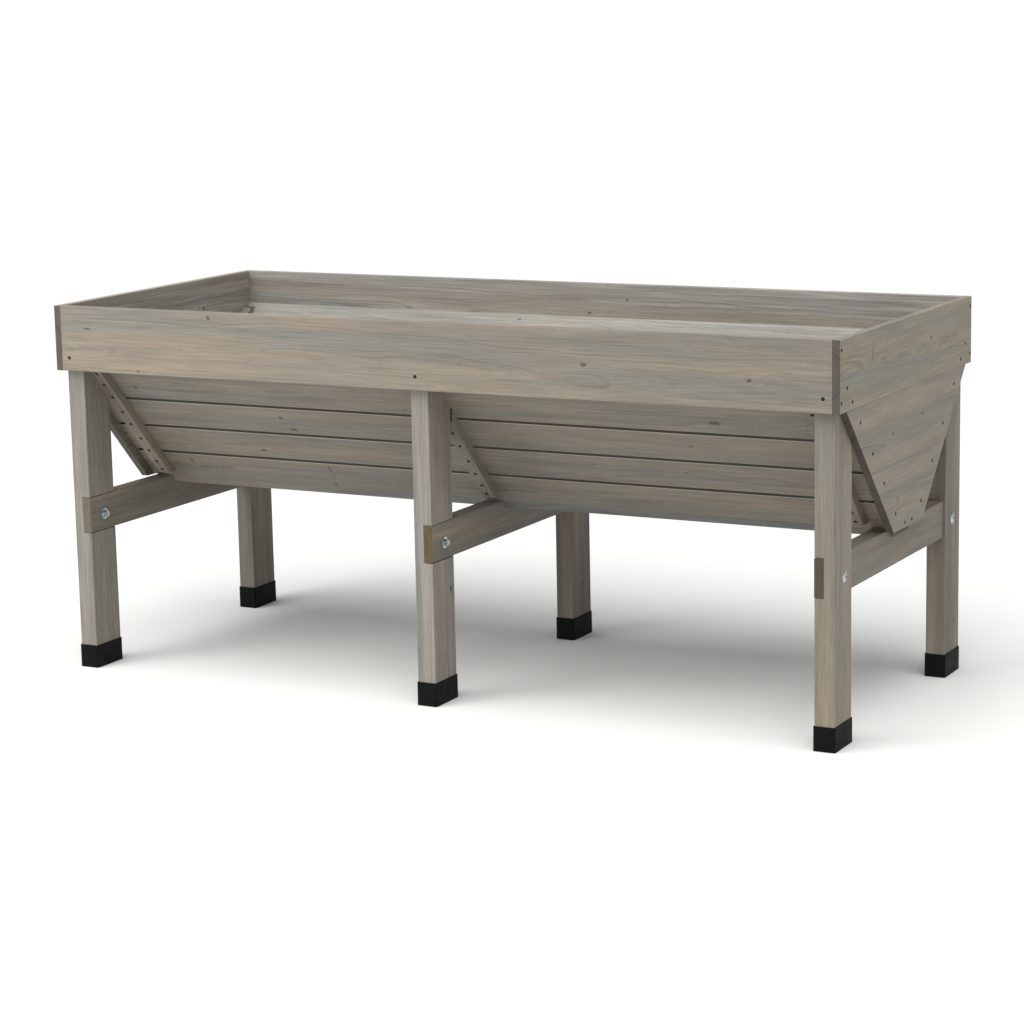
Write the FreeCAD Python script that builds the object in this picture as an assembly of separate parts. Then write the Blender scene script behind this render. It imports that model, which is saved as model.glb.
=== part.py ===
import FreeCAD, Part
import math
import os

# Raised planter on legs: a V-shaped slatted trough under a rectangular rail,
# carried by three leg frames.  Millimetres.  +Z is up, +X runs along the
# length and -Y is the front.  The origin is on the ground, under the middle.

V = FreeCAD.Vector

# Overall size, measured over the rails and down to the ground
length = 1800.0
width = 760.0
height = 800.0

# Rails round the rim and the boards that carry the end walls down to a V
rail_height = 140.0
rail_thick = 16.0
panel_board_height = 140.0
panel_proud = 18.0

# Slatted sides
slat_thick = 12.0
slat_gap = 8.0
slat_count = 5
top_slat_share = 0.81
slats_behind_rail = 46.7

# Floor of the trough
floor_width = 90.0
floor_thick = 16.0
floor_notch_depth = 16.0
floor_notch_clearance = 1.0
drain_gap = 15.0
slat_foot_lift = 0.5

# Battens on the outside of the slats and cleats inside the end walls
batten_width = 28.0
batten_thick = 20.0
batten_foot_lift = 14.0
cleat_width = 20.0
cleat_thick = 16.0
cleat_above_rail_foot = 56.0
cleat_clearance = 1.0

# Leg frames
leg_width = 42.0
leg_depth = 90.0
beam_width = 36.0
beam_height = 78.0
tongue_thick = 20.0
lap_clearance = 0.8

# Plastic boots
boot_height = 50.0
boot_wall = 2.0
boot_floor = 3.0

# Eased edges
leg_ease = 2.5
beam_ease = 2.5
board_ease = 1.5
slat_ease = 2.5
trim_ease = 1.0
boot_ease = 3.5
boot_rim_ease = 0.8

# Bolts through each leg and the tongue of its beam
bolt_diameter = 8.0
bolt_hole_clearance = 1.0
bolt_head_diameter = 24.0
bolt_head_height = 4.0
bolt_socket_across = 6.0
bolt_socket_depth = 2.6
bolt_below_beam_top = 43.0
bolt_behind_rail = 50.0
bolt_end_past_nut = 3.0
washer_diameter = 24.0
washer_thick = 2.0
nut_across = 13.0
nut_height = 6.5

# Countersunk wood screws
screw_head = 8.0
screw_head_depth = 3.2
screw_head_rim = 0.4
screw_shank = 4.0
screw_tip_length = 5.0
screw_sink = 1.2
screw_way_in = 2.4
cross_length = 4.4
cross_width = 1.1
cross_depth = 1.8
rail_screw_length = 30.0
rail_screw_rise = 28.0
rail_screw_from_leg_face = 18.0
middle_rail_screw_x = -11.0
corner_screw_length = 50.0
corner_screw_edge = 20.0
panel_screw_length = 32.0
panel_screw_inset = 3.0
panel_screws_in_rail = (15.0, 45.0)
panel_screws_in_board = (0.27, 0.78)
foot_screw_spacing = 40.0
foot_screw_rise = 10.0
batten_screw_length = 30.0
lowest_batten_screw_shares = (0.56, 0.9)
batten_screw_shares = (0.27, 0.77)
top_batten_screw_rise = 10.0
leg_screw_length = 50.0
leg_screw_share = 0.8
middle_leg_screw_x = -11.0
side_leg_screw_from_end = 47.0
floor_screw_length = 45.0
floor_screw_spacing = 56.0

# Levels and planes that follow from the sizes above
half_length = length / 2
rail_inner_x = half_length - rail_thick
rail_outer_y = width / 2
rail_inner_y = rail_outer_y - rail_thick
rail_foot = height - rail_height
beam_top = rail_foot - 2 * panel_board_height
beam_foot = beam_top - beam_height
floor_foot = beam_top - floor_notch_depth
floor_top = floor_foot + floor_thick
leg_back_y = rail_inner_y - leg_depth
bore_reach = 2 * leg_width
side_leg_screw_x = half_length - side_leg_screw_from_end

# The outer face of the slats is a plane that climbs from the foot of the
# lowest slat to the inner face of the rail.
slat_foot_y = floor_width / 2 + drain_gap
slat_foot_z = floor_top + slat_foot_lift
slat_head_z = rail_foot + slats_behind_rail
slope_run = rail_inner_y - slat_foot_y
slope_rise = slat_head_z - slat_foot_z
slope_length = math.hypot(slope_run, slope_rise)
slope_sin = slope_run / slope_length
slope_cos = slope_rise / slope_length
slat_width = (slope_length - slat_gap * (slat_count - 1)) / (slat_count - 1 + top_slat_share)
slat_pitch = slat_width + slat_gap

# Each leg frame: the face of the leg that the tongue of the beam lies in, and
# the way from that face across the leg.
frames = {
    "left": (-(rail_inner_x - leg_width), -1),
    "middle": (tongue_thick / 2, -1),
    "right": (rail_inner_x - leg_width, 1),
}
batten_centres = {
    "left": -(rail_inner_x - leg_width) + batten_width / 2,
    "middle": 0.0,
    "right": rail_inner_x - leg_width - batten_width / 2,
}
batten_head_y = {"left": rail_inner_y, "middle": leg_back_y, "right": rail_inner_y}
along_tolerance = 0.01
sides = {"front": -1, "back": 1}
ends = {"left": -1, "right": 1}


def block(x0, x1, y0, y1, z0, z1):
    low = V(min(x0, x1), min(y0, y1), min(z0, z1))
    return Part.makeBox(abs(x1 - x0), abs(y1 - y0), abs(z1 - z0), low)


def eased(shape, axis, radius):
    """Rounds the straight edges that run along the axis."""
    edges = [e for e in shape.Edges if e.tangentAt(e.FirstParameter).cross(axis).Length < along_tolerance]
    return shape.makeFillet(radius, edges)


def prism(points, x0, x1):
    """A solid with the given (y, z) outline from x0 to x1."""
    corners = [V(x0, y, z) for y, z in points]
    face = Part.Face(Part.makePolygon(corners + corners[:1]))
    return face.extrude(V(x1 - x0, 0, 0))


def slope_point(side, along, inward):
    """(y, z) at a distance up the slats' outer face and in from that face."""
    y = slat_foot_y + along * slope_sin - inward * slope_cos
    z = slat_foot_z + along * slope_cos + inward * slope_sin
    return side * y, z


def slope_y(z, inward):
    """Distance from the middle plane, at height z, of a plane inside the slats' outer face."""
    return slat_foot_y + (z - slat_foot_z) * slope_sin / slope_cos - inward / slope_cos


def slope_out(side):
    """The direction out of the slats' outer face."""
    return V(0, side * slope_cos, -slope_sin)


def slope_band(side, start, end, inner, outer, x0, x1):
    """A straight piece that lies along the slope, between two depths."""
    corners = ((start, outer), (end, outer), (end, inner), (start, inner))
    return prism([slope_point(side, along, depth) for along, depth in corners], x0, x1)


def placed(shape, point, direction):
    """A copy with its own +Z turned to the direction and its origin at the point."""
    copy = shape.copy()
    copy.Placement = FreeCAD.Placement(point, FreeCAD.Rotation(V(0, 0, 1), direction))
    return copy


def turned(profile):
    """A solid turned from an (r, z) outline about the Z axis."""
    corners = [V(r, 0, z) for r, z in profile]
    face = Part.Face(Part.makePolygon(corners + corners[:1]))
    return face.revolve(V(0, 0, 0), V(0, 0, 1), 360)


def screw_body(screw_length):
    """A countersunk screw with its head's flat top at z = 0 and its tip below."""
    tip = -screw_length
    shoulder = tip + screw_tip_length
    head = screw_head / 2
    shank = screw_shank / 2
    profile = ((0, 0), (head, 0), (head, -screw_head_rim),
               (shank, -screw_head_depth), (shank, shoulder), (0, tip))
    return turned(profile)


def screw(screw_length):
    reach = cross_length / 2
    half = cross_width / 2
    bar = block(-reach, reach, -half, half, -cross_depth, 0)
    cross_bar = block(-half, half, -reach, reach, -cross_depth, 0)
    return screw_body(screw_length).cut([bar, cross_bar])


def screw_hole(screw_length):
    """What a sunk screw takes out of the wood: its own shape and the way in above its head."""
    way_in = Part.makeCylinder(screw_head / 2, screw_way_in)
    return screw_body(screw_length).fuse(way_in)


def slat_span(number):
    """Start and end of a slat, as distances up the slope along its outer face."""
    start = (number - 1) * slat_pitch
    return start, start + slat_width


def rail_screw_places():
    """Through the front and back rails, over each leg."""
    end_x = rail_inner_x - rail_screw_from_leg_face
    z = rail_foot + rail_screw_rise
    for side in sides.values():
        for x in (-end_x, middle_rail_screw_x, end_x):
            yield V(x, side * (rail_outer_y - screw_sink), z), V(0, side, 0)


def corner_screw_places():
    """Through the end rails, into the ends of the long rails."""
    for end in ends.values():
        for side in sides.values():
            for z in (rail_foot + corner_screw_edge, height - corner_screw_edge):
                y = side * (rail_outer_y - rail_thick / 2)
                yield V(end * (half_length - screw_sink), y, z), V(end, 0, 0)


def panel_screw_places():
    """Through the end walls, into the sloping cleats and the foot cleat behind them."""
    heights = [rail_foot + rise for rise in panel_screws_in_rail]
    for board in (1, 2):
        heights += [rail_foot - (board - share) * panel_board_height for share in panel_screws_in_board]
    for end in ends.values():
        x = end * (half_length - screw_sink)
        for side in sides.values():
            for z in heights:
                yield V(x, side * slope_y(z, slat_thick + panel_screw_inset), z), V(end, 0, 0)
            yield V(x, side * foot_screw_spacing / 2, beam_top + foot_screw_rise), V(end, 0, 0)


def batten_screw_places():
    """Through the battens, two into each slat and one into the narrow top slat."""
    alongs = []
    for number in range(1, slat_count):
        shares = lowest_batten_screw_shares if number == 1 else batten_screw_shares
        start, end = slat_span(number)
        alongs += [start + share * (end - start) for share in shares]
    alongs.append(slat_span(slat_count)[0] + top_batten_screw_rise)
    depth = screw_sink - batten_thick
    for side in sides.values():
        for frame_name, x in batten_centres.items():
            for along in alongs:
                y, z = slope_point(side, along, depth)
                if abs(y) + screw_head < batten_head_y[frame_name]:
                    yield V(x, y, z), slope_out(side)


def leg_screw_places(xs):
    """From inside the trough, through the slats into the legs."""
    for side in sides.values():
        y, z = slope_point(side, leg_screw_share * slope_length, slat_thick - screw_sink)
        for x in xs:
            yield V(x, y, z), slope_out(side) * -1


def floor_screw_places():
    """Down through the floor board into each beam."""
    for face, way in frames.values():
        for side in sides.values():
            x = face + way * tongue_thick / 2
            yield V(x, side * floor_screw_spacing / 2, floor_top - screw_sink), V(0, 0, 1)


screw_sets = {
    "rail_screws": (rail_screw_length, list(rail_screw_places())),
    "corner_screws": (corner_screw_length, list(corner_screw_places())),
    "end_panel_screws": (panel_screw_length, list(panel_screw_places())),
    "batten_screws": (batten_screw_length, list(batten_screw_places())),
    "side_leg_screws": (leg_screw_length, list(leg_screw_places((-side_leg_screw_x, side_leg_screw_x)))),
    "middle_leg_screws": (leg_screw_length, list(leg_screw_places((middle_leg_screw_x,)))),
    "floor_screws": (floor_screw_length, list(floor_screw_places())),
}


def bolt_places():
    """The centre of each bolt on the face that its head bears on, and the way its head points."""
    for face, way in frames.values():
        for side in sides.values():
            x = face + way * leg_width
            yield V(x, side * (rail_inner_y - bolt_behind_rail), beam_top - bolt_below_beam_top), V(way, 0, 0)


def all_holes():
    holes = []
    for screw_length, places in screw_sets.values():
        hole = screw_hole(screw_length)
        holes += [placed(hole, point, way) for point, way in places]
    bore = Part.makeCylinder((bolt_diameter + bolt_hole_clearance) / 2, 2 * bore_reach, V(0, 0, -bore_reach))
    holes += [placed(bore, point, way) for point, way in bolt_places()]
    return holes


holes = all_holes()


def drilled(shape):
    """Takes every fixing that reaches the piece out of it."""
    near = [hole for hole in holes if hole.BoundBox.intersect(shape.BoundBox)]
    return shape.cut(near) if near else shape


def long_rail(side):
    rail = block(-rail_inner_x, rail_inner_x, side * rail_inner_y, side * rail_outer_y, rail_foot, height)
    return drilled(eased(rail, V(1, 0, 0), board_ease))


def end_rail(end):
    rail = block(end * rail_inner_x, end * half_length, -rail_outer_y, rail_outer_y, rail_foot, height)
    return drilled(eased(rail, V(0, 1, 0), board_ease))


def end_board(end, number):
    """One board of the V under the end rail, counted from the top."""
    top = rail_foot - (number - 1) * panel_board_height
    foot = top - panel_board_height
    top_y = slope_y(top, -panel_proud)
    foot_y = slope_y(foot, -panel_proud)
    outline = ((-top_y, top), (top_y, top), (foot_y, foot), (-foot_y, foot))
    board = prism(outline, end * rail_inner_x, end * half_length)
    return drilled(eased(board, V(0, 1, 0), trim_ease))


def slat(side, number):
    start, end = slat_span(number)
    if number < slat_count:
        board = slope_band(side, start, end, slat_thick, 0, -rail_inner_x, rail_inner_x)
        return drilled(eased(board, V(1, 0, 0), slat_ease))
    foot_in = slope_point(side, start, slat_thick)
    foot_out = slope_point(side, start, 0)
    head_out = (side * rail_inner_y, slat_head_z)
    head_in = (side * rail_inner_y, slat_head_z + slat_thick / slope_sin)
    board = prism((foot_in, foot_out, head_out, head_in), -rail_inner_x, rail_inner_x)
    return drilled(board)


def floor_board():
    board = block(-rail_inner_x, rail_inner_x, -floor_width / 2, floor_width / 2, floor_foot, floor_top)
    return drilled(eased(board, V(1, 0, 0), board_ease))


def batten(side, centre, head_y):
    """A batten across the slats, cut level at its foot and plumb at its head."""
    band = slope_band(side, -batten_thick, slope_length + rail_height, 0, -batten_thick,
                      centre - batten_width / 2, centre + batten_width / 2)
    along = V(0, side * slope_sin, slope_cos)
    band = eased(band, along, trim_ease)
    foot = beam_top + batten_foot_lift
    room = block(-half_length, half_length, 0, side * head_y, foot, height)
    return drilled(band.common(room))


def end_cleat(end, side):
    """A cleat inside the end wall, along the slats' inner faces."""
    band = slope_band(side, -cleat_thick, slope_length + rail_height, slat_thick + cleat_thick, slat_thick,
                      end * (rail_inner_x - cleat_width), end * rail_inner_x)
    top = rail_foot + cleat_above_rail_foot
    room = block(-half_length, half_length, 0, side * rail_inner_y, floor_top, top)
    return drilled(band.common(room))


def foot_cleat(end):
    """The short cleat on the floor board, between the two sloping cleats."""
    head = floor_top + cleat_width
    inward = slat_thick + cleat_thick
    foot_half, head_half = (slope_y(z, inward) - cleat_clearance for z in (floor_top, head))
    outline = ((-foot_half, floor_top), (foot_half, floor_top), (head_half, head), (-head_half, head))
    return drilled(prism(outline, end * (rail_inner_x - cleat_width), end * rail_inner_x))


def leg(face, way, side):
    """A leg with its top cut to the slope and a notch for the tongue of the beam."""
    post = block(face, face + way * leg_width, side * leg_back_y, side * rail_inner_y, boot_floor, height)
    post = eased(post, V(0, 0, 1), leg_ease)
    cut_foot = slat_head_z - leg_depth * slope_cos / slope_sin
    outline = ((side * rail_inner_y, slat_head_z), (side * rail_inner_y, height), (0, height), (0, cut_foot),
               (side * leg_back_y, cut_foot))
    above = prism(outline, -length, length)
    notch = block(face - way * leg_width, face + way * tongue_thick, 0, side * rail_outer_y,
                  beam_foot - lap_clearance, beam_top + lap_clearance)
    return drilled(post.cut([above, notch]))


def crossbeam(face, way):
    """A beam from front to back, its ends halved into the legs and its top notched for the floor board."""
    beam = block(face, face + way * beam_width, -rail_inner_y, rail_inner_y, beam_foot, beam_top)
    beam = eased(beam, V(0, 1, 0), beam_ease)
    cheeks = [block(face + way * tongue_thick, face + way * leg_width, side * leg_back_y, side * rail_outer_y,
                    beam_foot, beam_top) for side in sides.values()]
    half_notch = floor_width / 2 + floor_notch_clearance
    notch = block(face - way * leg_width, face + way * leg_width, -half_notch, half_notch, floor_foot, height)
    return drilled(beam.cut(cheeks + [notch]))


def boot(face, way, side):
    """A moulded cup that the foot of the leg stands in."""
    low_x = face - way * boot_wall
    high_x = face + way * (leg_width + boot_wall)
    back_y = side * (leg_back_y - boot_wall)
    front_y = side * (rail_inner_y + boot_wall)
    cup = block(low_x, high_x, back_y, front_y, 0, boot_height)
    cup = eased(cup, V(0, 0, 1), boot_ease)
    foot_edges = [e for e in cup.Edges if e.BoundBox.ZMax < boot_rim_ease]
    rim_edges = [e for e in cup.Edges if e.BoundBox.ZMin > boot_height - boot_rim_ease]
    cup = cup.makeFillet(boot_rim_ease, foot_edges + rim_edges)
    pocket = block(face, face + way * leg_width, side * leg_back_y, side * rail_inner_y, boot_floor, height)
    return cup.cut(eased(pocket, V(0, 0, 1), leg_ease))


def hexagon(across, z0, z1):
    radius = across / math.sqrt(3)
    turns = [math.radians(60 * corner) for corner in range(6)]
    corners = [V(radius * math.cos(turn), radius * math.sin(turn), z0) for turn in turns]
    return Part.Face(Part.makePolygon(corners + corners[:1])).extrude(V(0, 0, z1 - z0))


def bolt():
    """A low domed head on z = 0 with a hexagon socket, and a plain shank below it."""
    radius = bolt_head_diameter / 2
    edge = bolt_head_height / 4
    dome = bolt_head_height - edge
    sphere_radius = (radius ** 2 + dome ** 2) / (2 * dome)
    sphere = Part.makeSphere(sphere_radius, V(0, 0, bolt_head_height - sphere_radius))
    head = Part.makeCylinder(radius, bolt_head_height).common(sphere)
    reach = leg_width + washer_thick + nut_height + bolt_end_past_nut
    shank = Part.makeCylinder(bolt_diameter / 2, reach, V(0, 0, -reach))
    socket = hexagon(bolt_socket_across, bolt_head_height - bolt_socket_depth, 2 * bolt_head_height)
    return head.fuse(shank).cut(socket)


def washer():
    """A flat washer under the nut."""
    ring = Part.makeCylinder(washer_diameter / 2, washer_thick, V(0, 0, -leg_width - washer_thick))
    return ring.cut(Part.makeCylinder(bolt_diameter / 2, bore_reach, V(0, 0, -bore_reach)))


def nut():
    """A hexagon nut whose outer corners are chamfered by a cone."""
    near = -leg_width - washer_thick
    far = near - nut_height
    radius = nut_across / 2
    cone = Part.makeCone(radius, radius + nut_across, nut_across, V(0, 0, far))
    body = hexagon(nut_across, far, near).common(cone)
    return body.cut(Part.makeCylinder(bolt_diameter / 2, bore_reach, V(0, 0, -bore_reach)))


def group(shape, places):
    """Copies of one fixing, kept as separate solids."""
    return Part.makeCompound([placed(shape, point, way) for point, way in places])


def parts():
    for side_name, side in sides.items():
        yield "rail_" + side_name, long_rail(side)
        for number in range(1, slat_count + 1):
            yield f"slat_{side_name}_{number}", slat(side, number)
        for frame_name, centre in batten_centres.items():
            yield f"batten_{side_name}_{frame_name}", batten(side, centre, batten_head_y[frame_name])
    for end_name, end in ends.items():
        yield "rail_end_" + end_name, end_rail(end)
        yield f"end_board_{end_name}_upper", end_board(end, 1)
        yield f"end_board_{end_name}_lower", end_board(end, 2)
        yield "foot_cleat_" + end_name, foot_cleat(end)
        for side_name, side in sides.items():
            yield f"end_cleat_{end_name}_{side_name}", end_cleat(end, side)
    yield "floor_board", floor_board()
    for frame_name, (face, way) in frames.items():
        yield "crossbeam_" + frame_name, crossbeam(face, way)
        for side_name, side in sides.items():
            yield f"leg_{frame_name}_{side_name}", leg(face, way, side)
            yield f"boot_{frame_name}_{side_name}", boot(face, way, side)
    for name, (screw_length, places) in screw_sets.items():
        yield name, group(screw(screw_length), places)
    bolts = list(bolt_places())
    yield "frame_bolts", group(bolt(), bolts)
    yield "frame_washers", group(washer(), bolts)
    yield "frame_nuts", group(nut(), bolts)


os.makedirs("parts", exist_ok=True)
for name, shape in parts():
    shape.exportStep("parts/" + name + ".step")
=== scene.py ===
"""Looks of a raised planter on legs: a V-shaped trough of grey-washed boards on six legs in plastic boots."""

import math
import random

import bpy
from mathutils import Matrix, Vector


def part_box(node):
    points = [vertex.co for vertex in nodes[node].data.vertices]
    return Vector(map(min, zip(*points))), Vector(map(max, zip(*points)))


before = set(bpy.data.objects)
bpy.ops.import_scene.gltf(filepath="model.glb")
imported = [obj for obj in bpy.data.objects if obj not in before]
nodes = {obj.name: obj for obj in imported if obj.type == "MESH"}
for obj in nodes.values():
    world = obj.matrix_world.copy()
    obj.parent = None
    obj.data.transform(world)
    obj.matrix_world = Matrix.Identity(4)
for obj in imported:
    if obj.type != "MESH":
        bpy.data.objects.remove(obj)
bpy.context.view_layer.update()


# ---------------------------------------------------------------------------------------------------
# Legs: six sawn fir posts, each cut square at the foot and on the slope at its top.
# They carry the whole trough, and are grey-washed on every face.
# Their material is the one that all the boards share.

chance = random.Random(1807)
X_AXIS = Vector((1, 0, 0))
Y_AXIS = Vector((0, 1, 0))
Z_AXIS = Vector((0, 0, 1))
MM = 0.001


def linear(hex_colour):
    """An sRGB hex value as the linear colour that a socket takes."""
    levels = [int(hex_colour[i:i + 2], 16) / 255 for i in (1, 3, 5)]
    return (*[c / 12.92 if c <= 0.04045 else ((c + 0.055) / 1.055) ** 2.4 for c in levels], 1)


def add(tree, kind, takes=(), **settings):
    """Adds one node: its settings, then what each input takes, by place or by name."""
    node = tree.nodes.new("ShaderNode" + kind)
    for name, value in settings.items():
        setattr(node, name, value)
    sockets = [s for s in node.inputs if s.enabled]
    named = takes.items() if isinstance(takes, dict) else enumerate(takes)
    for key, value in named:
        socket = sockets[key] if isinstance(key, int) else next(s for s in sockets if s.name == key)
        if isinstance(value, bpy.types.Node):
            value = next(s for s in value.outputs if s.enabled)
        if isinstance(value, bpy.types.NodeSocket):
            tree.links.new(value, socket)
        else:
            socket.default_value = value
    return node


def new_material(name):
    """A material with an empty node tree."""
    made = bpy.data.materials.new(name)
    made.use_nodes = True
    made.node_tree.nodes.clear()
    return made, made.node_tree


def finish_in(material, *names):
    """Gives CAD nodes one material in place of their own."""
    for name in names:
        slots = nodes[name].data.materials
        slots.clear()
        slots.append(material)


# The figure of sawn softwood, in board millimetres: X along the grain, Y across the board, Z through it.
# Growth rings are cylinders round a pith that seldom lies in the board, so faces show long flames and
# ends show arcs. The rings widen along the log by its taper, and some years crowd more than others.
RING_MM = 3.4
TAPER = 0.008
PACES_PER_YEAR = 0.22
PACE_SWING = 5.0
PITH_ASIDE = 0.35
PITH_DEPTH_MM = (18, 60)
# The lumps of each noise, along the grain, across it and through the board
STREAK_MM = (620, 15, 15)
BLUSH_MM = (900, 48, 48)
BEND_SIZE_MM = (430, 140, 140)
BEND_MM = (0, 34, 34)
WOBBLE_SIZE_MM = (75, 26, 26)
WOBBLE_MM = (0, 4.5, 4.5)
# Real fibres and the dark dashes among them are finer than this, and too fine to show at their own size
FIBRE_MM = (130, 3.2, 3.2)
DASH_MM = (26, 2.2, 2.2)
CLOUD_MM = (210, 24, 24)


def fir_figure():
    """What varies in a board: late wood, streaks, blush, fibres, dark dashes and clouds."""
    tree = bpy.data.node_groups.new("fir_figure", "ShaderNodeTree")
    face = tree.interface
    for name in ("Place", "Pith", "Bulge", "Seed"):
        kind = "NodeSocketFloat" if name == "Bulge" else "NodeSocketVector"
        face.new_socket(name, in_out="INPUT", socket_type=kind)
    for name in ("Late", "Streak", "Blush", "Fibre", "Dash", "Cloud"):
        face.new_socket(name, in_out="OUTPUT", socket_type="NodeSocketFloat")
    given = tree.nodes.new("NodeGroupInput")
    place, pith, bulge, seed = given.outputs[:4]

    def noise(size, detail, roughness, shift, colour=False):
        """Noise with lumps of one size, read at its own shift so that no two kinds line up."""
        at = add(tree, "VectorMath", [place, size], operation="DIVIDE")
        moved = add(tree, "VectorMath", [at, seed], operation="ADD")
        again = add(tree, "VectorMath", [moved, (shift, shift, shift)], operation="ADD")
        takes = {"Vector": again, "Scale": 1.0, "Detail": detail, "Roughness": roughness}
        return add(tree, "TexNoise", takes).outputs["Color" if colour else "Fac"]

    def drift(size, detail, shift, reach):
        """A slow wander to either side, up to half of the reach."""
        centred = add(tree, "VectorMath", [noise(size, detail, 0.5, shift, True), (0.5, 0.5, 0.5)],
                      operation="SUBTRACT")
        return add(tree, "VectorMath", [centred, reach], operation="MULTIPLY")

    bend = drift(BEND_SIZE_MM, 1.0, 0.0, BEND_MM)
    wobble = drift(WOBBLE_SIZE_MM, 2.0, 7.0, WOBBLE_MM)
    off = add(tree, "VectorMath", [place, pith], operation="SUBTRACT")
    off = add(tree, "VectorMath", [off, bend], operation="ADD")
    off = add(tree, "VectorMath", [off, wobble], operation="ADD")
    flat = add(tree, "VectorMath", [off, (0, 1, 1)], operation="MULTIPLY")
    radius = add(tree, "VectorMath", [flat], operation="LENGTH").outputs["Value"]
    along = add(tree, "SeparateXYZ", [place]).outputs["X"]
    radius = add(tree, "Math", [along, TAPER, radius], operation="MULTIPLY_ADD")
    radius = add(tree, "Math", [radius, bulge], operation="ADD")
    count = add(tree, "Math", [radius, RING_MM], operation="DIVIDE")
    takes = {"W": count, "Scale": PACES_PER_YEAR, "Detail": 1.0}
    pace = add(tree, "TexNoise", takes, noise_dimensions="1D").outputs["Fac"]
    count = add(tree, "Math", [pace, PACE_SWING, count], operation="MULTIPLY_ADD")
    phase = add(tree, "Math", [count], operation="FRACT")
    year = add(tree, "Math", [count], operation="FLOOR")
    # Late wood darkens slowly through the year and ends sharply, and some years are faint
    rise = add(tree, "MapRange", [phase, 0.3, 0.86, 0.0, 1.0], interpolation_type="SMOOTHSTEP")
    fall = add(tree, "MapRange", [phase, 0.9, 1.0, 1.0, 0.0], interpolation_type="SMOOTHSTEP")
    strength = add(tree, "TexWhiteNoise", {"W": year}, noise_dimensions="1D").outputs["Value"]
    strength = add(tree, "Math", [strength, 0.7, 0.3], operation="MULTIPLY_ADD")
    late = add(tree, "Math", [rise, fall], operation="MULTIPLY")
    late = add(tree, "Math", [late, strength], operation="MULTIPLY")
    dash = add(tree, "MapRange", [noise(DASH_MM, 2.0, 0.6, 23.0), 0.6, 0.74, 0.0, 1.0])
    results = (late, noise(STREAK_MM, 3.0, 0.55, 3.0), noise(BLUSH_MM, 2.0, 0.5, 11.0),
               noise(FIBRE_MM, 3.0, 0.6, 17.0), dash, noise(CLOUD_MM, 3.0, 0.6, 31.0))
    ends = tree.nodes.new("NodeGroupOutput")
    for result, socket in zip(results, ends.inputs):
        out = result if isinstance(result, bpy.types.NodeSocket) else result.outputs[0]
        tree.links.new(out, socket)
    return tree


# A knot's outline has lumps of 8 mm or so, which push it in or out by shares of its size
RAGGED_PER_MM = 0.13
RAGGED = (1.7, 1.7, 0)
# The rings swell round a knot by so many half-widths, further along the grain than across, and fade
KNOT_SWELL = 1.6
SWELL_SHAPE = (0.6, 1, 0)
SWELL_FADE = -0.1


def fir_knot():
    """A branch through the board: how far the rings swell round it, and how far off its heart is."""
    tree = bpy.data.node_groups.new("fir_knot", "ShaderNodeTree")
    for name in ("Place", "Knot", "Size"):
        tree.interface.new_socket(name, in_out="INPUT", socket_type="NodeSocketVector")
    for name in ("Bulge", "Far"):
        tree.interface.new_socket(name, in_out="OUTPUT", socket_type="NodeSocketFloat")
    given = tree.nodes.new("NodeGroupInput")
    takes = {"Vector": given.outputs["Place"], "Scale": RAGGED_PER_MM, "Detail": 3.0, "Roughness": 0.6}
    rough = add(tree, "TexNoise", takes)
    rough = add(tree, "VectorMath", [rough.outputs["Color"], (0.5, 0.5, 0.5)], operation="SUBTRACT")
    rough = add(tree, "VectorMath", [rough, RAGGED], operation="MULTIPLY")
    away = add(tree, "VectorMath", [given.outputs["Place"], given.outputs["Knot"]], operation="SUBTRACT")
    away = add(tree, "VectorMath", [away, given.outputs["Size"]], operation="DIVIDE")
    plain = add(tree, "VectorMath", [away, SWELL_SHAPE], operation="MULTIPLY")
    plain = add(tree, "VectorMath", [plain], operation="LENGTH").outputs["Value"]
    near = add(tree, "Math", [plain, plain], operation="MULTIPLY")
    near = add(tree, "Math", [near, SWELL_FADE], operation="MULTIPLY")
    swell = add(tree, "Math", [near], operation="EXPONENT")
    across = add(tree, "SeparateXYZ", [given.outputs["Size"]]).outputs["Y"]
    bulge = add(tree, "Math", [swell, across], operation="MULTIPLY")
    bulge = add(tree, "Math", [bulge, KNOT_SWELL], operation="MULTIPLY")
    uneven = add(tree, "VectorMath", [away, rough], operation="ADD")
    uneven = add(tree, "VectorMath", [uneven, (1, 1, 0)], operation="MULTIPLY")
    far = add(tree, "VectorMath", [uneven], operation="LENGTH").outputs["Value"]
    ends = tree.nodes.new("NodeGroupOutput")
    tree.links.new(bulge.outputs[0], ends.inputs["Bulge"])
    tree.links.new(far, ends.inputs["Far"])
    return tree


FIGURE = fir_figure()
KNOT = fir_knot()
WASH = "#7e776c"
END_GRAIN = ("#565045", "#2c2821")
# What shows through or over the wash, and the most of each that shows
LATE_WOOD, LATE_SHARE = "#5b5146", 0.55
COOL_STREAK, STREAK_SHARE = "#6a6d69", 0.75
WARM_BLUSH, BLUSH_SHARE = "#8a7b69", 0.6
DARK_DASH, DASH_SHARE = "#463d33", 0.34
# The slats' pale corner colour is a painted highlight, and their nearly black edge colour is painted shade in
# the gaps
PAINTED_ARRIS_HIGHLIGHT, ARRIS_HIGHLIGHT_SHARE = "#b3afa3", 0.5
PAINTED_GAP_SHADE, GAP_SHADE_SHARE = "#24221e", 0.9
KNOT_HEART, KNOT_BARK, KNOT_SHARE = "#573d29", "#271f18", 0.8
# Where no knots are named a board gets one, or two if it is long: half its length and half its width
LONG_BOARD_MM = 1200
KNOT_LENGTH_MM = (3, 6)
KNOT_WIDTH_MM = (2, 4)
KNOT_WITHIN = (0.9, 0.7)
SEED_SPREAD = 60
GRAIN_RELIEF_MM = 0.5


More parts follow.
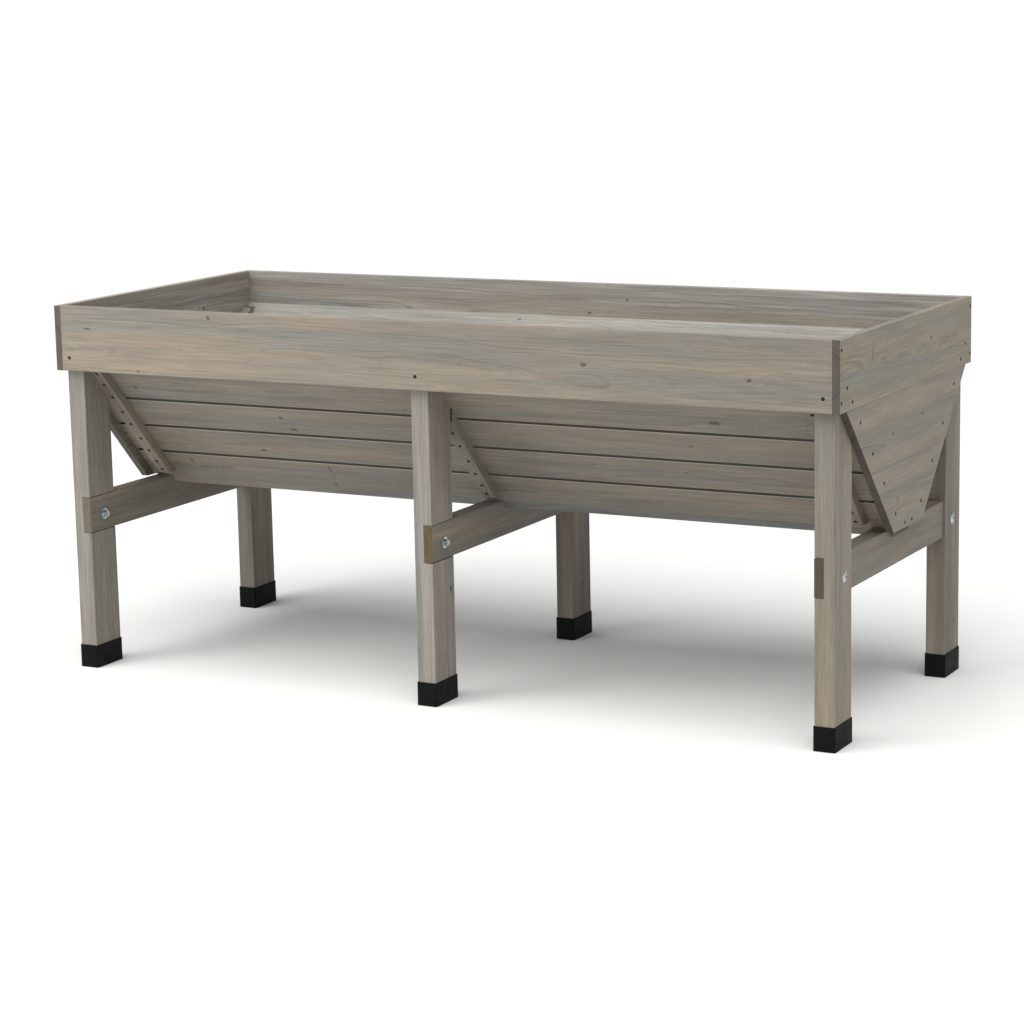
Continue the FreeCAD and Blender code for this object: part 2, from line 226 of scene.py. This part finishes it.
def greywashed_fir(node, along, across, tone=WASH, end_grain=END_GRAIN, knots=None, painted_gap_shade_and_highlight=False):
    """Fir board, planed and grey-washed: a thin matt stain that lets the grain and small knots show."""
    grain = along.normalized()
    width_axis = across.normalized()
    depth_axis = grain.cross(width_axis)
    low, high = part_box(node)
    centre = (low + high) / 2
    turn = Matrix((grain, width_axis, depth_axis)).transposed().to_euler()
    corners = [v.co - centre for v in nodes[node].data.vertices]
    half = [max(abs(c.dot(a)) for c in corners) / MM for a in (grain, width_axis, depth_axis)]
    seed = Vector([chance.uniform(0, SEED_SPREAD) for _ in range(3)])
    pith = Vector((0, chance.uniform(-PITH_ASIDE, PITH_ASIDE) * half[1],
                   chance.choice((-1, 1)) * chance.uniform(*PITH_DEPTH_MM)))
    knot_count = 1 + int(2 * half[0] > LONG_BOARD_MM)
    reach, spread = KNOT_WITHIN
    drawn = [(chance.uniform(-reach, reach) * half[0], chance.uniform(-spread, spread) * half[1],
              chance.uniform(*KNOT_LENGTH_MM), chance.uniform(*KNOT_WIDTH_MM)) for _ in range(knot_count)]
    knots = drawn if knots is None else knots

    made, tree = new_material("greywashed_fir." + node)
    spot = add(tree, "TexCoord")
    place = add(tree, "Mapping", {"Vector": spot.outputs["Object"], "Location": centre, "Rotation": turn,
                                  "Scale": (MM, MM, MM)}, vector_type="TEXTURE")
    facing = add(tree, "Mapping", {"Vector": spot.outputs["Normal"], "Rotation": turn}, vector_type="TEXTURE")
    facing = add(tree, "SeparateXYZ", [facing])
    to_end = add(tree, "Math", [facing.outputs["X"]], operation="ABSOLUTE")
    end = add(tree, "MapRange", [to_end, 0.5, 0.7, 0.0, 1.0])

    bulge, far = 0.0, 9.0
    for length_at, width_at, knot_length, knot_width in knots:
        knot = add(tree, "Group", node_tree=KNOT)
        tree.links.new(place.outputs[0], knot.inputs["Place"])
        knot.inputs["Knot"].default_value = (length_at, width_at, 0)
        knot.inputs["Size"].default_value = (knot_length, knot_width, 1)
        bulge = add(tree, "Math", [knot.outputs["Bulge"], bulge], operation="ADD")
        far = add(tree, "Math", [knot.outputs["Far"], far], operation="MINIMUM")
    figure = add(tree, "Group", node_tree=FIGURE)
    tree.links.new(place.outputs[0], figure.inputs["Place"])
    if knots:
        tree.links.new(bulge.outputs[0], figure.inputs["Bulge"])
    figure.inputs["Pith"].default_value = pith
    figure.inputs["Seed"].default_value = seed

    # The wash lies unevenly, in long cool and warm streaks, over the darker lines of late wood
    late_share = add(tree, "Math", [figure.outputs["Late"], LATE_SHARE], operation="MULTIPLY")
    colour = add(tree, "Mix", [late_share, linear(tone), linear(LATE_WOOD)], data_type="RGBA")
    streak = add(tree, "MapRange", [figure.outputs["Streak"], 0.42, 0.66, 0.0, STREAK_SHARE])
    colour = add(tree, "Mix", [streak, colour, linear(COOL_STREAK)], data_type="RGBA")
    blush = add(tree, "MapRange", [figure.outputs["Blush"], 0.46, 0.7, 0.0, BLUSH_SHARE])
    colour = add(tree, "Mix", [blush, colour, linear(WARM_BLUSH)], data_type="RGBA")
    dash = add(tree, "Math", [figure.outputs["Dash"], DASH_SHARE], operation="MULTIPLY")
    colour = add(tree, "Mix", [dash, colour, linear(DARK_DASH)], data_type="RGBA")
    fibre = add(tree, "MapRange", [figure.outputs["Fibre"], 0.3, 0.7, 0.8, 1.18])
    cloud = add(tree, "MapRange", [figure.outputs["Cloud"], 0.3, 0.7, 0.9, 1.1])
    shade = add(tree, "Math", [fibre, cloud], operation="MULTIPLY")
    colour = add(tree, "Mix", [1.0, colour, shade], data_type="RGBA", blend_type="MULTIPLY")

    if painted_gap_shade_and_highlight:
        # The long edges are painted nearly black as painted shade in the narrow gaps between slats, and their
        # corners get a pale painted highlight where the arris catches light
        to_edge = add(tree, "Math", [facing.outputs["Y"]], operation="ABSOLUTE")
        arris_highlight = add(tree, "MapRange", [to_edge, 0.15, 0.55, 0.0, ARRIS_HIGHLIGHT_SHARE])
        colour = add(tree, "Mix", [arris_highlight, colour, linear(PAINTED_ARRIS_HIGHLIGHT)], data_type="RGBA")
        gap_shade = add(tree, "MapRange", [to_edge, 0.8, 0.97, 0.0, GAP_SHADE_SHARE])
        colour = add(tree, "Mix", [gap_shade, colour, linear(PAINTED_GAP_SHADE)], data_type="RGBA")

    end_rings = add(tree, "Math", [figure.outputs["Late"], 0.2], operation="ADD")
    end_colour = add(tree, "Mix", [end_rings, linear(end_grain[0]), linear(end_grain[1])], data_type="RGBA")
    colour = add(tree, "Mix", [end, colour, end_colour], data_type="RGBA")
    if knots:
        # A knot has a red-brown heart and a thin dark ring of bark
        heart = add(tree, "MapRange", [far, 0.3, 0.75, 0.0, 1.0])
        knot_colour = add(tree, "Mix", [heart, linear(KNOT_HEART), linear(KNOT_BARK)], data_type="RGBA")
        knot_share = add(tree, "MapRange", [far, 0.65, 1.5, KNOT_SHARE, 0.0], interpolation_type="SMOOTHSTEP")
        colour = add(tree, "Mix", [knot_share, colour, knot_colour], data_type="RGBA")

    rough = add(tree, "MapRange", [figure.outputs["Fibre"], 0.3, 0.7, 0.6, 0.78])
    height = add(tree, "Math", [figure.outputs["Fibre"], 0.5], operation="MULTIPLY")
    height = add(tree, "Math", [figure.outputs["Late"], 0.3, height], operation="MULTIPLY_ADD")
    relief = add(tree, "Bump", {"Height": height, "Strength": 0.6, "Distance": GRAIN_RELIEF_MM * MM})
    takes = {"Base Color": colour, "Roughness": rough, "Normal": relief, "IOR": 1.5}
    add(tree, "OutputMaterial", {"Surface": add(tree, "BsdfPrincipled", takes)})
    finish_in(made, node)


ENDS = ("left", "middle", "right")
SIDES = ("front", "back")
# The legs' tones stand in for light and shade: the back legs, under the trough, are darker as painted shade,
# and the front legs differ as painted light, brightest on the middle one
LEG_TONES_WITH_PAINTED_SHADE = {"left_front": "#7f7970", "middle_front": "#88817a", "right_front": "#7c7466",
             "left_back": "#675f55", "middle_back": "#5e564d", "right_back": "#675f55"}
# Knots on a board: millimetres along and across it from its middle, then half-length and half-width
LEG_KNOTS = {"middle_front": [(-120, 29, 6, 4), (-310, 17, 5, 4)], "right_front": []}
for end in ENDS:
    for side in SIDES:
        greywashed_fir(f"leg_{end}_{side}", Z_AXIS, Y_AXIS, tone=LEG_TONES_WITH_PAINTED_SHADE[f"{end}_{side}"],
                       knots=LEG_KNOTS.get(f"{end}_{side}"))


# ---------------------------------------------------------------------------------------------------
# Boots: black caps pushed onto the six feet to keep them off wet ground.
# Injection-moulded polypropylene with a fine spark-eroded texture, so they read as matt charcoal.

# A grain of the grit is 1.4 mm here, much coarser than a real one, which would not show
GRITS_PER_M = 700.0
SCUFFS_PER_M = 38.0
# Well under the usual 0.5, at which the boots came out too grey
BOOT_SPECULAR = 0.1


def moulded_polypropylene():
    """Moulded black PP: soft broad sheen, a fine grit that breaks it up."""
    made, tree = new_material("moulded_polypropylene")
    spot = add(tree, "TexCoord").outputs["Object"]
    grit = add(tree, "TexNoise", {"Vector": spot, "Scale": GRITS_PER_M, "Detail": 2.0}).outputs["Fac"]
    scuff = add(tree, "TexNoise", {"Vector": spot, "Scale": SCUFFS_PER_M, "Detail": 4.0}).outputs["Fac"]
    share = add(tree, "MapRange", [scuff, 0.35, 0.75, 0.0, 1.0])
    colour = add(tree, "Mix", [share, linear("#08090a"), linear("#0e0f11")], data_type="RGBA")
    rough = add(tree, "MapRange", [scuff, 0.3, 0.7, 0.5, 0.66])
    relief = add(tree, "Bump", {"Height": grit, "Strength": 0.35, "Distance": 0.0004})
    takes = {"Base Color": colour, "Roughness": rough, "Normal": relief, "IOR": 1.49,
             "Specular IOR Level": BOOT_SPECULAR}
    add(tree, "OutputMaterial", {"Surface": add(tree, "BsdfPrincipled", takes)})
    return made


finish_in(moulded_polypropylene(), *[f"boot_{end}_{side}" for end in ENDS for side in SIDES])


# ---------------------------------------------------------------------------------------------------
# Crossbeams: one bolted across each pair of legs, notched on top for the floor board.
# Their end grain shows at the legs, greyish on the left one and brown on the other two.

BEAM_ENDS = {"left": ("#676052", "#453f33"), "middle": ("#614e2c", "#33291a"),
             "right": ("#4d4430", "#2c2519")}
for end in ENDS:
    greywashed_fir(f"crossbeam_{end}", Y_AXIS, Z_AXIS, tone="#6b6559", end_grain=BEAM_ENDS[end], knots=[])


# ---------------------------------------------------------------------------------------------------
# Frame bolts, washers and nuts: one set where each crossbeam laps a leg.
# Zinc-plated steel, bluish and bright, with the cloudy film that the passivation leaves.

# One cloud of the film in each 4 mm or so
CLOUDS_PER_M = 240.0


def zinc_plated_steel():
    """Bright zinc: a metal with a soft blue-grey bloom in its gloss."""
    made, tree = new_material("zinc_plated_steel")
    spot = add(tree, "TexCoord").outputs["Object"]
    bloom = add(tree, "TexNoise", {"Vector": spot, "Scale": CLOUDS_PER_M, "Detail": 3.0}).outputs["Fac"]
    share = add(tree, "MapRange", [bloom, 0.35, 0.7, 0.0, 1.0])
    colour = add(tree, "Mix", [share, linear("#c3c9cc"), linear("#9aa5ab")], data_type="RGBA")
    rough = add(tree, "MapRange", [bloom, 0.3, 0.7, 0.22, 0.4])
    relief = add(tree, "Bump", {"Height": bloom, "Strength": 0.2, "Distance": 0.0003})
    takes = {"Base Color": colour, "Roughness": rough, "Normal": relief, "Metallic": 1.0}
    add(tree, "OutputMaterial", {"Surface": add(tree, "BsdfPrincipled", takes)})
    return made


finish_in(zinc_plated_steel(), "frame_bolts", "frame_washers", "frame_nuts")


# ---------------------------------------------------------------------------------------------------
# End walls: two boards under each end rail, cut to the V, on sloping cleats.
# Planed fir like the rest, screwed flat against the cleats.

slope = ((sum(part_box("slat_front_4"), Vector()) - sum(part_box("slat_front_3"), Vector())) / 2).normalized()
slope_of = {"front": slope, "back": Vector((slope.x, -slope.y, slope.z))}
END_BOARD_KNOTS = {("right", "upper"): [(-90, -10, 4, 3), (79, 7, 5, 3)], ("left", "lower"): [(20, 15, 5, 4)]}
for end in ("left", "right"):
    for level in ("upper", "lower"):
        greywashed_fir(f"end_board_{end}_{level}", Y_AXIS, Z_AXIS, tone="#7a7469",
                       knots=END_BOARD_KNOTS.get((end, level), []))
    for side in SIDES:
        greywashed_fir(f"end_cleat_{end}_{side}", slope_of[side], X_AXIS, knots=[])
    greywashed_fir(f"foot_cleat_{end}", Y_AXIS, X_AXIS, knots=[])


# ---------------------------------------------------------------------------------------------------
# Trough: five slats a side on sloping battens, and one board along the bottom.

greywashed_fir("floor_board", X_AXIS, Y_AXIS, tone="#696a68")
# The back slats, seen from inside the trough, get a lighter tone than the front ones as painted light
SLAT_TONES_WITH_PAINTED_LIGHT = {"front": "#7c756a", "back": "#8a867d"}
SLAT_KNOTS = {
    ("front", 1): [(-748, 22, 2, 7), (-387, 25, 2, 9), (-394, -30, 2, 6)],
    ("front", 2): [(280, 16, 3, 2), (484, 9, 4, 2), (-531, -16, 7, 3)],
    ("front", 3): [(525, 5, 3, 2), (-433, 12, 4, 4), (-417, -27, 7, 3)],
    ("front", 4): [(599, -9, 11, 5), (-769, -5, 4, 3)],
    ("front", 5): [],
}
for side in SIDES:
    for number in range(1, 6):
        greywashed_fir(f"slat_{side}_{number}", X_AXIS, slope_of[side], tone=SLAT_TONES_WITH_PAINTED_LIGHT[side],
                       knots=SLAT_KNOTS.get((side, number)), painted_gap_shade_and_highlight=True)
    for end in ENDS:
        greywashed_fir(f"batten_{side}_{end}", slope_of[side], X_AXIS, tone="#7a7268", knots=[])


# ---------------------------------------------------------------------------------------------------
# Rails: a frame of four wide boards round the rim, screwed at the corners.

# The left end rail, seen from inside the trough, gets a lighter tone as painted light
RAIL_TONES_WITH_PAINTED_LIGHT = {"front": "#767065", "back": "#94918a", "end_left": "#98948c", "end_right": "#7f7766"}
RAIL_KNOTS = {
    "front": [(368, 0, 6, 3), (717, -14, 4, 3), (-815, 23, 7, 2), (-505, 58, 4, 4), (-688, -62, 3, 2)],
    "end_right": [(128, 13, 6, 3), (184, -9, 3, 2), (-206, 23, 2, 13)],
}
for side in SIDES:
    greywashed_fir(f"rail_{side}", X_AXIS, Z_AXIS, tone=RAIL_TONES_WITH_PAINTED_LIGHT[side], knots=RAIL_KNOTS.get(side))
for end in ("end_left", "end_right"):
    greywashed_fir(f"rail_{end}", Y_AXIS, Z_AXIS, tone=RAIL_TONES_WITH_PAINTED_LIGHT[end], knots=RAIL_KNOTS.get(end))


# ---------------------------------------------------------------------------------------------------
# Screws: countersunk chipboard screws, set just below the face.
# Phosphated steel, nearly black, so each reads as a small dark dot.

# Real phosphate crystals are far smaller than these specks of 1 mm, and would not show
SPECKS_PER_M = 900.0


def phosphated_steel():
    """Phosphate-coated steel: dark, dull, slightly speckled."""
    made, tree = new_material("phosphated_steel")
    spot = add(tree, "TexCoord").outputs["Object"]
    speck = add(tree, "TexNoise", {"Vector": spot, "Scale": SPECKS_PER_M, "Detail": 2.0}).outputs["Fac"]
    colour = add(tree, "Mix", [speck, linear("#1d1f21"), linear("#3a3d40")], data_type="RGBA")
    rough = add(tree, "MapRange", [speck, 0.3, 0.7, 0.45, 0.65])
    shader = add(tree, "BsdfPrincipled", {"Base Color": colour, "Roughness": rough, "Metallic": 0.8})
    add(tree, "OutputMaterial", {"Surface": shader})
    return made


finish_in(phosphated_steel(), "rail_screws", "corner_screws", "end_panel_screws", "batten_screws",
          "side_leg_screws", "middle_leg_screws", "floor_screws")


# ---------------------------------------------------------------------------------------------------
# Floor, lights and camera: a pale studio floor, an even white surround and three soft lights.
# The paint is matt and very slightly uneven, in patches of a third of a metre.

PATCHES_PER_M = 3.0
FLOOR_REACH = 900.0


def pale_floor():
    """Matt pale paint, slightly uneven."""
    made, tree = new_material("painted_floor")
    spot = add(tree, "TexCoord").outputs["Object"]
    wash = add(tree, "TexNoise", {"Vector": spot, "Scale": PATCHES_PER_M, "Detail": 2.0}).outputs["Fac"]
    colour = add(tree, "Mix", [wash, linear("#cdcdcb"), linear("#d0d0ce")], data_type="RGBA")
    shader = add(tree, "BsdfPrincipled", {"Base Color": colour, "Roughness": 0.9})
    add(tree, "OutputMaterial", {"Surface": shader})
    return made


floor_mesh = bpy.data.meshes.new("floor")
corners = [(x * FLOOR_REACH, y * FLOOR_REACH, 0) for x, y in ((-1, -1), (1, -1), (1, 1), (-1, 1))]
floor_mesh.from_pydata(corners, [], [(0, 1, 2, 3)])
floor = bpy.data.objects.new("floor", floor_mesh)
floor_mesh.materials.append(pale_floor())
bpy.context.scene.collection.objects.link(floor)

world = bpy.data.worlds.new("white_surround")
bpy.context.scene.world = world
world.use_nodes = True
surround = world.node_tree.nodes["Background"].inputs
surround["Color"].default_value = (1, 1, 1, 1)
surround["Strength"].default_value = 0.4


def set_light(name, kind, energy, heading, place=(0, 0, 0)):
    """A lamp in watts, or watts a square metre for a sun, that shines along a heading."""
    lamp = bpy.data.lights.new(name, kind)
    lamp.energy = energy
    holder = bpy.data.objects.new(name, lamp)
    holder.location = place
    holder.rotation_euler = Vector(heading).to_track_quat("-Z", "Y").to_euler()
    bpy.context.scene.collection.objects.link(holder)
    return lamp


softbox = set_light("softbox", "SUN", energy=4.3, heading=(0.0, 0.4, -1))
softbox.angle = math.radians(60)
side_panel = set_light("side_panel", "AREA", energy=34, heading=(1.3, 2.1, -0.9), place=(-1.9, -2.4, 1.5))
side_panel.size = 1.6
fill_panel = set_light("fill_panel", "AREA", energy=18, heading=(-3.0, 0.3, -1.1), place=(3.4, -0.4, 1.7))
fill_panel.size = 2.0

SENSOR_MM = 36
LENS_MM = 98.65546875
CLIP_END = 3000
CAMERA_AT = (2.77190, -5.24390, 1.47970)
azimuth, elevation, roll = (math.radians(a) for a in (27.834, 10.843, -1.170))
back = Vector((math.sin(azimuth) * math.cos(elevation), -math.cos(azimuth) * math.cos(elevation),
               math.sin(elevation)))
right = (-back).cross(Z_AXIS).normalized()
up = right.cross(-back)
camera_data = bpy.data.cameras.new("camera")
camera_data.sensor_width = SENSOR_MM
camera_data.lens = LENS_MM
camera_data.clip_end = CLIP_END
camera = bpy.data.objects.new("camera", camera_data)
turned_right = right * math.cos(roll) + up * math.sin(roll)
turned_up = up * math.cos(roll) - right * math.sin(roll)
pose = Matrix((turned_right, turned_up, back)).transposed().to_4x4()
pose.translation = CAMERA_AT
camera.matrix_world = pose
bpy.context.scene.collection.objects.link(camera)
bpy.context.scene.camera = camera
bpy.context.scene.view_settings.view_transform = "Standard"
